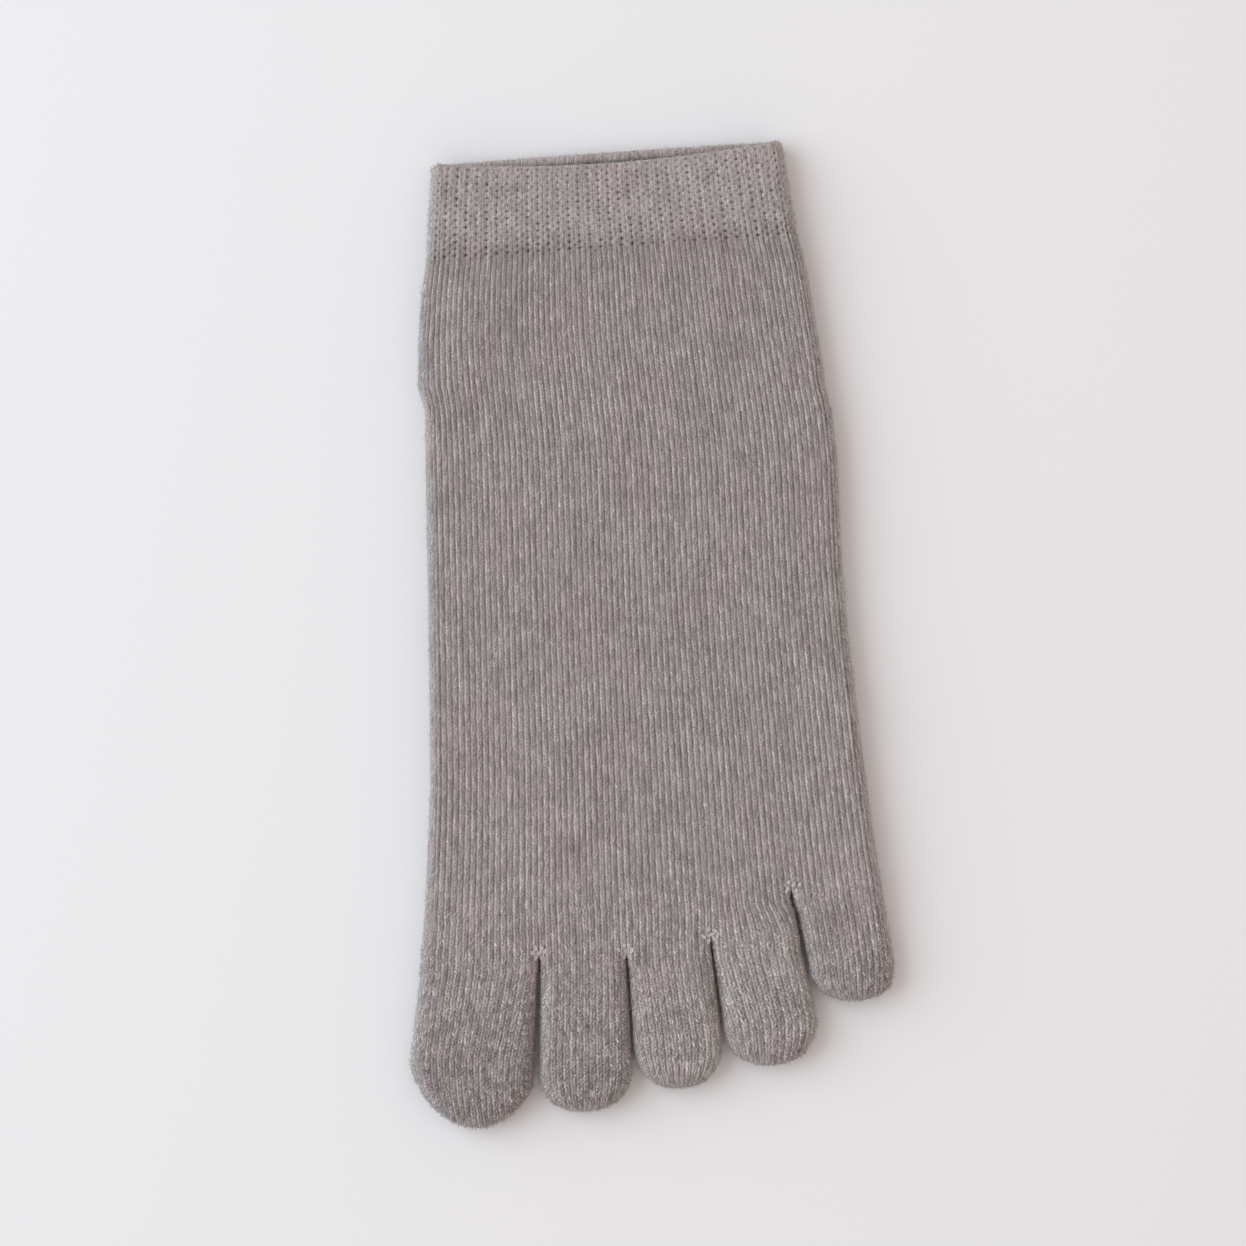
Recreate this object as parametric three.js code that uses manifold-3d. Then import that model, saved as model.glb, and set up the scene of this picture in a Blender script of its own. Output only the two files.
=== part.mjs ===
import * as THREE from "three";
import { LoftGeometry } from "three/addons/geometries/LoftGeometry.js";
import { mergeVertices } from "three/addons/utils/BufferGeometryUtils.js";
import Module from "manifold-3d";

// A low-cut toe sock, knitted in one grey yarn, lying flat on a table with the instep up.
// Millimetres, +Z up. The cuff points to +Y, the toes to -Y, the big toe lies at -X.
// The origin is the middle of the sock's footprint, on the table.

// Driving dimensions
const ballWidth = 104.7; // flat width where the little toe joins the foot
const footLength = 149.4; // from the cuff seam to the little toe's seam
const bandLength = 11.1; // the stretch past that seam which the four larger toes share
const cuffHeight = 22.4; // from the cuff seam to the rim of the lower sheet
const rimDip = 2.6; // how far the middle of the upper rim lies behind the lower rim
const courseTilt = 2; // degrees by which the knitted courses run off square

const footThickness = 8.2; // outside, lying flat
const cuffStep = 0.4; // how much thicker than the foot the ribbed cuff lies
const toeStep = 0.2; // how much thinner the toes lie
const footWall = 1.4; // one layer of plain knit
const bandWall = 1.7; // denser where the larger toes are linked on
const cuffWall = 1.7; // one layer of ribbed knit
const edgeRound = 4.6; // how far a folded side edge curves in
const rimRound = 1.2; // how far the rolled rim curves back

const ribPitch = 2.44; // one rib and one groove of the cuff
const ribDepth = 0.35;
const gatherRise = 0.25; // puckers where the foot is drawn in under the cuff
const gatherReach = 9; // how far they run down the foot
const ribsPerGather = 4;

const bigToeLength = 37.4;
const secondToeLength = 35.3;
const thirdToeLength = 31.4;
const fourthToeLength = 27.8;
const littleToeLength = 25.4;

const seamGap = 0.3; // clearance between neighbouring pieces
const throughCut = 1; // how far a cutting solid runs past the face that it opens

// Side edges of the foot from the cuff seam (along 0) to the little toe's seam (along 1).
// left and right are shares of ballWidth. The bulge near 0.19 is the end of the heel pocket.
const footEdges = [
  { along: 0, left: -0.4365, right: 0.376 },
  { along: 0.02, left: -0.4415, right: 0.383 },
  { along: 0.05, left: -0.449, right: 0.392 },
  { along: 0.12, left: -0.459, right: 0.406 },
  { along: 0.19, left: -0.463, right: 0.419 },
  { along: 0.225, left: -0.449, right: 0.423 },
  { along: 0.27, left: -0.451, right: 0.4375 },
  { along: 0.35, left: -0.453, right: 0.445 },
  { along: 0.43, left: -0.455, right: 0.446 },
  { along: 0.5, left: -0.4565, right: 0.447 },
  { along: 0.58, left: -0.459, right: 0.453 },
  { along: 0.65, left: -0.461, right: 0.46 },
  { along: 0.8, left: -0.467, right: 0.4785 },
  { along: 0.92, left: -0.4795, right: 0.495 },
  { along: 1, left: -0.49, right: 0.51 },
];

// Side edges of the stretch that the four larger toes share, as shares of ballWidth.
const bandEdges = [
  { along: 0, left: -0.49, right: 0.3095 },
  { along: 1, left: -0.5015, right: 0.3265 },
];

// Side edges of the cuff, from its seam (along 0) to its rim (along 1), as shares of ballWidth.
const cuffEdges = [
  { along: 0, left: -0.4345, right: 0.374 },
  { along: 0.5, left: -0.427, right: 0.36 },
  { along: 1, left: -0.4165, right: 0.347 },
];

// The toes. Edges are shares of ballWidth, at the seam and where the rounded tip starts.
// tipX is where the tip points, tip the share of the length that is rounded,
// and square how square the tip is: 2 is an ellipse.
const toes = [
  {
    name: "toe_big", length: bigToeLength, onBand: true,
    left: -0.4995, right: -0.245, wideLeft: -0.53, wideRight: -0.2635,
    tipX: -0.388, tip: 0.433, square: 2,
  },
  {
    name: "toe_second", length: secondToeLength, onBand: true,
    left: -0.24, right: -0.0535, wideLeft: -0.2495, wideRight: -0.049,
    tipX: -0.153, tip: 0.26, square: 2.2,
  },
  {
    name: "toe_third", length: thirdToeLength, onBand: true,
    left: -0.0485, right: 0.133, wideLeft: -0.043, wideRight: 0.1495,
    tipX: 0.0545, tip: 0.33, square: 2.2,
  },
  {
    name: "toe_fourth", length: fourthToeLength, onBand: true,
    left: 0.138, right: 0.3255, wideLeft: 0.1545, wideRight: 0.358,
    tipX: 0.254, tip: 0.37, square: 2.2,
  },
  {
    name: "toe_little", length: littleToeLength, onBand: false,
    left: 0.3175, right: 0.5085, wideLeft: 0.3455, wideRight: 0.53,
    tipX: 0.443, tip: 0.34, square: 2.3,
  },
];

// Soft folds of the upper sheet. along is a share of footLength from the cuff seam, across and
// spread are shares of ballWidth, run is a share of footLength, turn is in degrees from across,
// and rise is a share of footThickness.
const softFolds = [
  { along: 0.06, across: 0.26, run: 0.1, spread: 0.03, turn: -28, rise: 0.05 },
  { along: 0.14, across: 0.33, run: 0.09, spread: 0.04, turn: 40, rise: -0.06 },
  { along: 0.13, across: -0.35, run: 0.1, spread: 0.05, turn: 70, rise: 0.05 },
  { along: 0.24, across: -0.36, run: 0.07, spread: 0.03, turn: -15, rise: -0.05 },
  { along: 0.5, across: 0.13, run: 0.14, spread: 0.05, turn: 60, rise: 0.04 },
  { along: 0.59, across: 0.26, run: 0.13, spread: 0.03, turn: -52, rise: -0.06 },
  { along: 0.75, across: 0.29, run: 0.16, spread: 0.035, turn: -38, rise: -0.055 },
  { along: 0.66, across: 0.34, run: 0.13, spread: 0.04, turn: -45, rise: 0.045 },
  { along: 0.93, across: -0.16, run: 0.08, spread: 0.04, turn: 10, rise: -0.05 },
];

// Points on each kind of ring
const footPoints = { side: 4, top: 36 };
const hollowPoints = { side: 3, top: 12 };
const toePoints = { side: 3, top: 3 };
const toeShaftSteps = 2;
const tipAngles = [18, 34, 48, 60, 71, 80, 86];

const yarnGrey = new THREE.Color(0x938887);
const kinds = {
  plain: new THREE.MeshStandardMaterial({ color: yarnGrey, roughness: 0.95, metalness: 0 }),
  ribbed: new THREE.MeshStandardMaterial({ color: yarnGrey, roughness: 0.92, metalness: 0 }),
};

const wasm = await Module();
wasm.setup();

const cuffThickness = footThickness + cuffStep;
const toeThickness = footThickness - toeStep;
const slope = Math.tan(THREE.MathUtils.degToRad(courseTilt));
const quarter = Math.PI / 2;
const bandSeamY = -footLength - bandLength; // y counts from the cuff seam until the pieces are placed

// Places round a flattened tube, anticlockwise from the middle of the right edge as seen from
// the toes. across runs from -1 to 1 over the flat stretch, and angle is the outward direction.
function placesRound({ side, top }) {
  const places = [];
  for (let i = 0; i < side; i++) places.push({ across: 1, angle: (quarter * i) / side });
  for (let i = 0; i <= top; i++) places.push({ across: 1 - (2 * i) / top, angle: quarter });
  for (let i = 1; i < 2 * side; i++) places.push({ across: -1, angle: quarter * (1 + i / side) });
  for (let i = 0; i <= top; i++) places.push({ across: -1 + (2 * i) / top, angle: 3 * quarter });
  for (let i = 1; i < side; i++) places.push({ across: 1, angle: quarter * (3 + i / side) });
  return places;
}

// The point at one place of a ring with flat top and bottom and rounded sides.
function pointAt(place, { left, right, middle, half, inset = 0 }) {
  const halfWidth = (right - left) / 2;
  const round = Math.min(edgeRound, halfWidth);
  const reach = Math.max(round - inset, 0);
  const x = (left + right) / 2 + place.across * (halfWidth - round) + reach * Math.cos(place.angle);
  return new THREE.Vector3(x, 0, middle + (half - inset) * Math.sin(place.angle));
}

// A closed solid from a three.js geometry.
function solidFrom(geometry) {
  const bare = new THREE.BufferGeometry();
  bare.setAttribute("position", geometry.getAttribute("position"));
  bare.setIndex(geometry.getIndex());
  const merged = mergeVertices(bare);
  return new wasm.Manifold(
    new wasm.Mesh({
      numProp: 3,
      vertProperties: merged.attributes.position.array,
      triVerts: new Uint32Array(merged.index.array),
    }),
  );
}

function loftSolid(sections) {
  return solidFrom(new LoftGeometry(sections, { capStart: true, capEnd: true }));
}

function meshFrom(name, solid, material) {
  const { numProp, numVert, vertProperties, triVerts } = solid.getMesh();
  const positions = new Float32Array(numVert * 3);
  for (let i = 0; i < numVert; i++) {
    positions.set(vertProperties.subarray(i * numProp, i * numProp + 3), i * 3);
  }
  const geometry = new THREE.BufferGeometry();
  geometry.setAttribute("position", new THREE.BufferAttribute(positions, 3));
  geometry.setIndex(new THREE.BufferAttribute(new Uint32Array(triVerts), 1));
  geometry.computeVertexNormals();
  const mesh = new THREE.Mesh(geometry, material);
  mesh.name = name;
  return mesh;
}

// Edges in millimetres at any share along a table, straight between its rows.
function edgesAt(table, along) {
  const index = Math.max(table.findIndex((row) => row.along >= along), 1);
  const [before, after] = table.slice(index - 1, index + 1);
  const share = (along - before.along) / (after.along - before.along);
  return {
    left: ballWidth * THREE.MathUtils.lerp(before.left, after.left, share),
    right: ballWidth * THREE.MathUtils.lerp(before.right, after.right, share),
  };
}

// Rise of the upper sheet of the foot at a point, from its soft folds.
function foldRise(x, y) {
  let rise = 0;
  for (const fold of softFolds) {
    const offset = new THREE.Vector2(x - fold.across * ballWidth, y + fold.along * footLength);
    offset.rotateAround(new THREE.Vector2(), -THREE.MathUtils.degToRad(fold.turn));
    const run = offset.x / (fold.run * footLength);
    const spread = offset.y / (fold.spread * ballWidth);
    rise += fold.rise * footThickness * Math.exp(-run * run - spread * spread);
  }
  return rise;
}

// Rise of the puckers under the cuff, at distance y from its seam.
function puckerRise(x, y) {
  const wave = Math.cos((2 * Math.PI * x) / (ribPitch * ribsPerGather));
  return gatherRise * wave * Math.max(1 + y / gatherReach, 0) ** 2;
}

// One ring of the foot, with its folds, at distance y from the cuff seam.
function footRing(places, edges, y, inset, gathered) {
  const middle = footThickness / 2;
  const half = footThickness / 2;
  return places.map((place) => {
    const point = pointAt(place, { ...edges, middle, half, inset });
    const upper = Math.max(0, Math.sin(place.angle));
    const rise = foldRise(point.x, y) + (gathered ? puckerRise(point.x, y) : 0);
    point.z += rise * upper;
    point.y = y + slope * point.x;
    return point;
  });
}

// The foot: one flattened tube, open at the cuff, whose end steps back beside the little toe.
function makeFoot() {
  const outer = placesRound(footPoints);
  const inner = placesRound(hollowPoints);
  const rowRing = (places, row, inset, gathered) =>
    footRing(places, edgesAt(footEdges, row.along), -footLength * row.along, inset, gathered);
  const bandEnd = edgesAt(bandEdges, 1);
  const fullEnd = { left: bandEnd.left, right: edgesAt(footEdges, 1).right };

  const tube = loftSolid([
    ...footEdges.map((row) => rowRing(outer, row, 0, true)),
    footRing(outer, fullEnd, bandSeamY, 0, false),
  ]);
  const hollow = loftSolid([
    footRing(inner, edgesAt(footEdges, 0), throughCut, footWall, false),
    ...footEdges.slice(0, -1).map((row) => rowRing(inner, row, footWall, false)),
    footRing(inner, edgesAt(footEdges, 1), -footLength + footWall, footWall, false),
  ]);
  const bandHollow = loftSolid([
    footRing(inner, edgesAt(bandEdges, 0), -footLength + footWall + throughCut, bandWall, false),
    footRing(inner, bandEnd, bandSeamY + footWall, bandWall, false),
  ]);

  let foot = tube.subtract(littleToeCorner()).subtract(hollow.add(bandHollow));
  for (const toe of toes) foot = foot.subtract(toePassage(toe));
  return foot;
}

// The corner that the foot leaves free for the little toe.
function littleToeCorner() {
  const corner = new THREE.Shape();
  const farX = ballWidth;
  const points = [
    [edgesAt(bandEdges, 0).right, -footLength],
    [farX, -footLength],
    [farX, bandSeamY - throughCut],
    [edgesAt(bandEdges, 1).right, bandSeamY - throughCut],
  ];
  corner.setFromPoints(points.map(([x, y]) => new THREE.Vector2(x, y + slope * x)));
  const depth = footThickness + 2 * throughCut;
  const block = new THREE.ExtrudeGeometry(corner, { depth, bevelEnabled: false });
  return solidFrom(block.translate(0, 0, -throughCut));
}

function toeSeamY(toe) {
  return toe.onBand ? bandSeamY : -footLength;
}

// One ring of a toe. distance counts from its seam, and inset is the wall for its hollow.
function toeRing(toe, distance, inset) {
  const straight = toe.length * (1 - toe.tip);
  const share = Math.min(distance / straight, 1);
  const tipShare = Math.max(distance - straight, 0) / (toe.length - straight - inset);
  const narrow = Math.pow(1 - Math.pow(tipShare, toe.square), 1 / toe.square);
  const left = ballWidth * THREE.MathUtils.lerp(toe.left, toe.wideLeft, share);
  const right = ballWidth * THREE.MathUtils.lerp(toe.right, toe.wideRight, share);
  const centre = THREE.MathUtils.lerp((left + right) / 2, ballWidth * toe.tipX, tipShare * tipShare);
  const halfWidth = ((right - left) / 2 - inset) * narrow;

  const round = toeThickness / 2 - inset;
  const past = Math.max(distance - (toe.length - toeThickness / 2), 0) / round;
  const half = round * Math.sqrt(Math.max(1 - past * past, 0));
  const edges = { left: centre - halfWidth, right: centre + halfWidth };

  const seamX = (ballWidth * (toe.left + toe.right)) / 2;
  const square = 1 - distance / toe.length;
  return placesRound(toePoints).map((place) => {
    const point = pointAt(place, { ...edges, middle: toeThickness / 2, half });
    point.y = toeSeamY(toe) - seamGap - distance + slope * (seamX + (point.x - centre) * square);
    return point;
  });
}

// Distances of a toe's rings from its seam, closer together round the tip.
function toeSteps(toe, inset) {
  const straight = toe.length * (1 - toe.tip);
  const tipReach = toe.length - straight - inset;
  const steps = [];
  for (let i = 0; i <= toeShaftSteps; i++) steps.push((straight * i) / toeShaftSteps);
  for (const angle of tipAngles) {
    steps.push(straight + tipReach * Math.sin(THREE.MathUtils.degToRad(angle)));
  }
  return steps;
}

// A toe: a flattened pocket, open at its seam, with a rounded tip.
function makeToe(toe) {
  const pocket = loftSolid(toeSteps(toe, 0).map((distance) => toeRing(toe, distance, 0)));
  const hollow = loftSolid([
    toeRing(toe, -throughCut, footWall),
    ...toeSteps(toe, footWall).map((distance) => toeRing(toe, distance, footWall)),
  ]);
  return pocket.subtract(hollow);
}

// The way from the foot's hollow into a toe, cut through the foot's front wall.
function toePassage(toe) {
  return loftSolid([
    toeRing(toe, -seamGap - footWall - throughCut, footWall),
    toeRing(toe, throughCut, footWall),
  ]);
}

// Places round the cuff: a groove after each rib over the top, and plain sides and bottom.
function ribbedPlaces() {
  const { side } = footPoints;
  const flat = cuffFlatWidth();
  const ribs = Math.round(flat / ribPitch);
  const places = [];
  for (let i = 0; i < 2 * side; i++) {
    places.push({ across: 1, angle: quarter * (i / side - 1), sunk: 0 });
  }
  for (let i = 0; i < ribs; i++) {
    const start = 1 - (2 * i) / ribs;
    const step = 2 / ribs;
    places.push({ across: start, angle: quarter, sunk: 0 });
    places.push({ across: start - 0.5 * step, angle: quarter, sunk: 0 });
    places.push({ across: start - 0.62 * step, angle: quarter, sunk: 1 });
    places.push({ across: start - 0.88 * step, angle: quarter, sunk: 1 });
  }
  for (let i = 0; i <= 2 * side; i++) {
    places.push({ across: -1, angle: quarter * (1 + i / side), sunk: 0 });
  }
  return places;
}

function cuffFlatWidth() {
  const { left, right } = edgesAt(cuffEdges, 0);
  return right - left - 2 * edgeRound;
}

// The cuff: the profile of its wall, with a rolled rim, carried round the flattened tube.
function makeCuff() {
  const wallProfile = [
    { along: 0, inset: 0 },
    { along: 0.5, inset: 0 },
    { along: 1 - rimRound / cuffHeight, inset: 0 },
    { along: 1 - (0.3 * rimRound) / cuffHeight, inset: 0.2 * cuffWall },
    { along: 1, inset: 0.5 * cuffWall },
    { along: 1 - (0.3 * rimRound) / cuffHeight, inset: 0.8 * cuffWall },
    { along: 1 - rimRound / cuffHeight, inset: cuffWall },
    { along: 0, inset: cuffWall },
  ];
  const sections = ribbedPlaces().map((place) =>
    wallProfile.map(({ along, inset }) => {
      const ribbed = inset < cuffWall / 2 ? place.sunk * ribDepth * (1 - 2 * (inset / cuffWall)) : 0;
      const point = pointAt(place, {
        ...edgesAt(cuffEdges, along),
        middle: cuffThickness / 2,
        half: cuffThickness / 2,
        inset: inset + ribbed,
      });
      const upper = Math.max(0, Math.sin(place.angle));
      const dip = rimDip * upper * along * (1 - place.across ** 4);
      point.y = seamGap + (cuffHeight - seamGap) * along - dip + slope * point.x;
      return point;
    }),
  );
  sections.push(sections[0]);
  return solidFrom(new LoftGeometry(sections));
}

const sock = new THREE.Group();
sock.add(meshFrom("cuff", makeCuff(), kinds.ribbed));
sock.add(meshFrom("foot", makeFoot(), kinds.plain));
for (const toe of toes) sock.add(meshFrom(toe.name, makeToe(toe), kinds.plain));

const reach = new THREE.Box3().setFromObject(sock);
const centre = reach.getCenter(new THREE.Vector3());
sock.position.set(-centre.x, -centre.y, -reach.min.z);

export default sock;
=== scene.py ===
import math

import bmesh
import bpy
import numpy as np
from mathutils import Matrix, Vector


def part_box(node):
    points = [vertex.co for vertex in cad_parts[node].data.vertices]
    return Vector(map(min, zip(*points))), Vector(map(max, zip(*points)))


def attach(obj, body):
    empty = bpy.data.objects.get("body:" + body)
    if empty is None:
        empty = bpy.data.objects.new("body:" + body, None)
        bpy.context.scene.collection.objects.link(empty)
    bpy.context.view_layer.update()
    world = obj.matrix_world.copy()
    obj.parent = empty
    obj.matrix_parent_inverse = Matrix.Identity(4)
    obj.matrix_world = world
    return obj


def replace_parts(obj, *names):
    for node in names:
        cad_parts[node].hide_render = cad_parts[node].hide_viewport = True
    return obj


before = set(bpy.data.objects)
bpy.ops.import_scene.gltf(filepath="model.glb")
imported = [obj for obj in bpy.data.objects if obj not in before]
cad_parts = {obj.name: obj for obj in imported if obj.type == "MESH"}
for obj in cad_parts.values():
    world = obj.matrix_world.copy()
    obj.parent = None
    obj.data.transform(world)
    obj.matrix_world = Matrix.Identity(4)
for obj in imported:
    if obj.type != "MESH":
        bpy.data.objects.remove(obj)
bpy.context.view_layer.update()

bl_info = {
    "name": "Toe Sock",
    "version": (1, 0, 0),
    "blender": (4, 5, 0),
    "location": "3D View > Sidebar > Toe Sock",
    "description": "Knits a low-cut toe sock that lies flat, stitch by stitch, round its solid model",
    "category": "Object",
}

# Everything below is in millimetres until a mesh is written, which is in metres.
# The cuff points to +Y, the toes to -Y, the big toe lies at -X and the instep is up.
# Lengths along the sock count from the cuff seam, and are negative towards the toes.
MM = 0.001


def table(columns, *rows):
    """Rows of a table as dictionaries, by the names of its columns."""
    return [dict(zip(columns.split(), row)) for row in rows]


# Sizes that the solid model shares
BALL_WIDTH = 104.7
FOOT_LENGTH = 149.4
BAND_LENGTH = 11.1
CUFF_HEIGHT = 22.4
RIM_DIP = 2.6
SLOPE = math.tan(math.radians(2))  # how far the courses run off square
FOOT_THICKNESS = 8.2
CUFF_THICKNESS = 8.6
TOE_THICKNESS = 8.0
FOOT_WALL = 1.4
CUFF_WALL = 1.7

# The knit, in stitches. A wale is a column of stitches, and a course a row.
FOOT_WALES = 76  # across one layer
FOOT_COURSES = 142
BAND_COURSES = 11
COURSE = FOOT_LENGTH / FOOT_COURSES
COLUMNS_PER_WALE = 3  # mesh columns
ROWS_PER_COURSE = 2
RIB_WALES = 2  # from one column of dimples in the cuff to the next
DIMPLE_ROWS = 4  # mesh rows from one dimple of the cuff to the next
CUFF_COURSE_ROWS = 2.4  # mesh rows to a course of the cuff
CUFF_ROWS = 50
CUFF_RIM_ROWS = 6
CUFF_INNER_ROWS = 20
INNER_ROWS = 12  # mesh rows of the hidden inner face
INNER_SETBACK = 5  # how far before an open end the inner face stops

# Side edges as shares of BALL_WIDTH. along is a share of FOOT_LENGTH from the cuff seam.
FOOT_EDGES = {
    "along": (0, 0.02, 0.05, 0.12, 0.19, 0.225, 0.27, 0.35, 0.43, 0.5, 0.58, 0.65, 0.8, 0.92, 1),
    "left": (-0.4365, -0.4415, -0.449, -0.459, -0.463, -0.449, -0.451, -0.453, -0.455, -0.4565,
             -0.459, -0.461, -0.467, -0.4795, -0.49),
    "right": (0.376, 0.383, 0.392, 0.406, 0.419, 0.423, 0.4375, 0.445, 0.446, 0.447,
              0.453, 0.46, 0.4785, 0.495, 0.51),
}
BAND_EDGES = {"along": (0, 1), "left": (-0.49, -0.5015), "right": (0.3095, 0.3265)}
CUFF_EDGES = {"along": (0, 0.5, 1), "left": (-0.4345, -0.427, -0.4165), "right": (0.374, 0.36, 0.347)}

# Where neighbouring toes part: the wale it lies on, its place across as a share of BALL_WIDTH,
# and how far the last course of the band runs ahead of or behind a straight line there.
CROTCHES = table(
    "wale across ahead",
    (20, -0.2426, 0),
    (34, -0.0525, 1.0),
    (47, 0.1337, -1.1),
    (60, 0.3123, -0.9),
)

# The toes. Edges are shares of BALL_WIDTH, at the seam and where the rounded tip starts, tip_x is
# where the tip points, tip the share of the length that is rounded, and square how square it is.
# turn is how far the wales turn with the rim of the tip, from 0, which is straight on, to 1.
# wales are those of the foot that run on into the toe, and added are stitches picked up beside them.
TOES = table(
    "name length wales added seam wide tip_x tip square turn",
    ("toe_big", 37.4, (0, 20), (0, 4), (-0.4995, -0.245), (-0.53, -0.2635), -0.388, 0.433, 2.0, 0.2),
    ("toe_second", 35.3, (20, 34), (1, 2), (-0.24, -0.0535), (-0.2495, -0.049), -0.153, 0.26, 2.2, 0.6),
    ("toe_third", 31.4, (34, 47), (2, 1), (-0.0485, 0.133), (-0.043, 0.1495), 0.0545, 0.33, 2.2, 0.7),
    ("toe_fourth", 27.8, (47, 60), (3, 0), (0.138, 0.3255), (0.1545, 0.358), 0.254, 0.37, 2.2, 0.5),
    ("toe_little", 25.4, (60, 76), (1, 0), (0.3175, 0.5085), (0.3455, 0.53), 0.443, 0.34, 2.3, 0.4),
)
SPREAD_SHARE = 0.8  # share of a toe's length over which its picked-up stitches take their full width
TIP_SMOOTH = 4  # how far from the rim of a tip the relief is full
SEAM_REACH = 5  # how far down a toe or the band its own section takes over
CROTCH_REACH = 2.2  # how far the knit dips round a crotch
FAN_START = 60  # how far down the foot the wales start to fan out to the crotches

# The loops of yarn at each crotch: their middles are across and back from it, towards the cuff,
# in millimetres, and turn is how far they lean to the right from along the sock, in degrees.
LINK_LOOPS = table(
    "across back length turn",
    (-0.7, 0.7, 1.9, 20),
    (0.7, 0.6, 1.8, -24),
    (0.1, 1.7, 1.3, 60),
    (-1.5, 1.9, 1.3, -35),
    (1.5, 1.8, 1.4, 25),
    (-0.5, 2.9, 1.1, 15),
    (0.9, 3.1, 1.1, -50),
)
LOOP_WIDTH = 0.55
LOOP_YARN = 0.19  # radius of the yarn
LOOP_PROUD = 0.4  # how far its middle lies above the knit, as a share of that radius
LOOP_STRAY = 0.35  # how far a loop may lie off its place, in millimetres
LOOP_TURN = 12  # and how far it may be turned, in degrees
LOOP_SEGMENTS = 18
YARN_SEGMENTS = 8

# Soft folds of the upper layer: along is a share of FOOT_LENGTH from the cuff seam, across and
# spread are shares of BALL_WIDTH, run is a share of FOOT_LENGTH, turn is in degrees from across,
# and rise is a share of FOOT_THICKNESS.
SOFT_FOLDS = table(
    "along across run spread turn rise",
    (0.06, 0.26, 0.1, 0.03, -28, 0.075),
    (0.14, 0.33, 0.09, 0.04, 40, -0.09),
    (0.13, -0.35, 0.1, 0.05, 70, 0.075),
    (0.24, -0.36, 0.07, 0.03, -15, -0.075),
    (0.5, 0.13, 0.14, 0.05, 60, 0.06),
    (0.59, 0.26, 0.13, 0.03, -52, -0.09),
    (0.75, 0.29, 0.16, 0.035, -38, -0.083),
    (0.66, 0.34, 0.13, 0.04, -45, 0.068),
    (0.93, -0.16, 0.08, 0.04, 10, -0.075),
)
LIP_REACH = 3.4  # how far below its rim the far lip of the mouth starts to rise
LIP_FLAT = 1.8  # how far below its rim it has risen in full
CALM_ROWS = 24  # over how many rows the inner wales even out a bend of a side edge
CALM_REACH = 7  # how far in from its side edge such a bend fades
CORNER = 1.5  # radius of the corners of the mouth
CUFF_GRIP = 1.5  # how far up the cuff its own section takes over from the foot's
CUFF_FOLLOW = 8  # how far up the cuff the rise and fall of the foot at their seam fades out
SWAY_PITCH = 17  # from one soft rise of the upper side to the next
GATHER_REACH = 9  # how far the puckers under the cuff run down the foot
GATHER_PITCH = 9.8  # from one pucker to the next

TOE_LOOK_START = 134  # the course where single stitches start to show
TOE_LOOK_RUN = 30  # over how many courses they come to show fully
SEAM_FADE = 5  # over how many courses either side of the cuff's seam its knit takes its own look
STITCH_SLANT = 1.2  # courses that a leg of a stitch rises over half a wale
GROOVE_SHARE = 0.2  # share of a wale, on either side of its legs, that lies in a groove
LEG_HIGHLIGHT_PLACE = 0.45  # where the painted highlight on a leg is brightest, from 0 in the middle of its wale to 1 at its side
HIGHLIGHT_PLACE = 0.3  # where on its wale the thin painted highlight line runs
HIGHLIGHT_WIDTH = 0.19  # how far it reaches to either side, as a share of a wale
EDGE_KEEP = 0.35  # share of the relief left at a side edge or at the rim of a tip
SMOOTH_WALES = 3.2  # how far in from a side edge the relief takes its full depth
FOOT_FUZZ = 3  # fibres to a millimetre of a side edge
TOE_FUZZ = 6
CUFF_FUZZ = 6
FUZZ_SPREAD = 2  # how many columns or rows they mostly stray from the edge
FUZZ_ON_TOP = 0.06  # fibres to a square millimetre of the upper side
FIBRE_RADIUS = 0.05
FIBRE_SHORTEST = 0.4  # as a share of the longest
FIBRE_ROOT = 0.15  # share of a fibre that is sunk in the knit
FIBRE_STRAY = 0.7  # how far fibres lean off the way straight out
FIBRE_BEND = 0.5  # how far their ends bend aside, as a share of their length
FIBRE_ROWS = 4  # rows of points along a fibre
FIBRE_SIDES = 3
NOISE_SIZE = 256  # cells of a noise table before it repeats
CROWDED = 0.3  # columns closer together than this lose their relief
MERGE = 0.002  # points closer together than this are one
TIP_CORE = 0.05  # the slope of a tip's plan is read no nearer to its middle than this share
TINY = 1e-9  # stands in for lengths of nothing where they divide
YARN_ROUGHNESS = 0.95
FLOOR_ROUGHNESS = 0.8
SHINE = 0.2  # how strongly the yarn and the floor mirror the light
UPPER = 1
LOWER = -1

# The stage, in metres but for the camera's film
FLOOR_SIZE = 4
KEY_SIZE = 1.9
KEY_PLACE = Vector((-1.35, 0.4, 1.0))
SENSOR = 36  # width of the film, in millimetres
VIEW_WIDTH = 284.7  # what the camera sees across, in millimetres
VIEW_CENTRE = (-3.6, 2.65)  # in millimetres
VIEW_TURN = math.radians(2)


def ease(x):
    """A smooth step from 0 at x = 0 to 1 at x = 1."""
    x = np.clip(x, 0, 1)
    return x * x * (3 - 2 * x)


def mix(a, b, share):
    return a + (b - a) * share


def wander(x, y, seed):
    """Smooth random values from -1 to 1, which change over about one unit of x and of y."""
    table = np.random.default_rng(seed).uniform(-1, 1, (NOISE_SIZE, NOISE_SIZE))
    column = np.floor(x).astype(int)
    row = np.floor(y).astype(int)
    across = ease(x - column)
    up = ease(y - row)

    def corner(i, j):
        return table[(column + i) % NOISE_SIZE, (row + j) % NOISE_SIZE]

    low = mix(corner(0, 0), corner(1, 0), across)
    high = mix(corner(0, 1), corner(1, 1), across)
    return mix(low, high, up)


def edge(table, side, along):
    """A side edge in millimetres, straight between the rows of its table."""
    return BALL_WIDTH * np.interp(along, table["along"], table[side])


SEAM_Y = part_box("foot")[1][1] / MM - SLOPE * edge(FOOT_EDGES, "right", 0)


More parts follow.
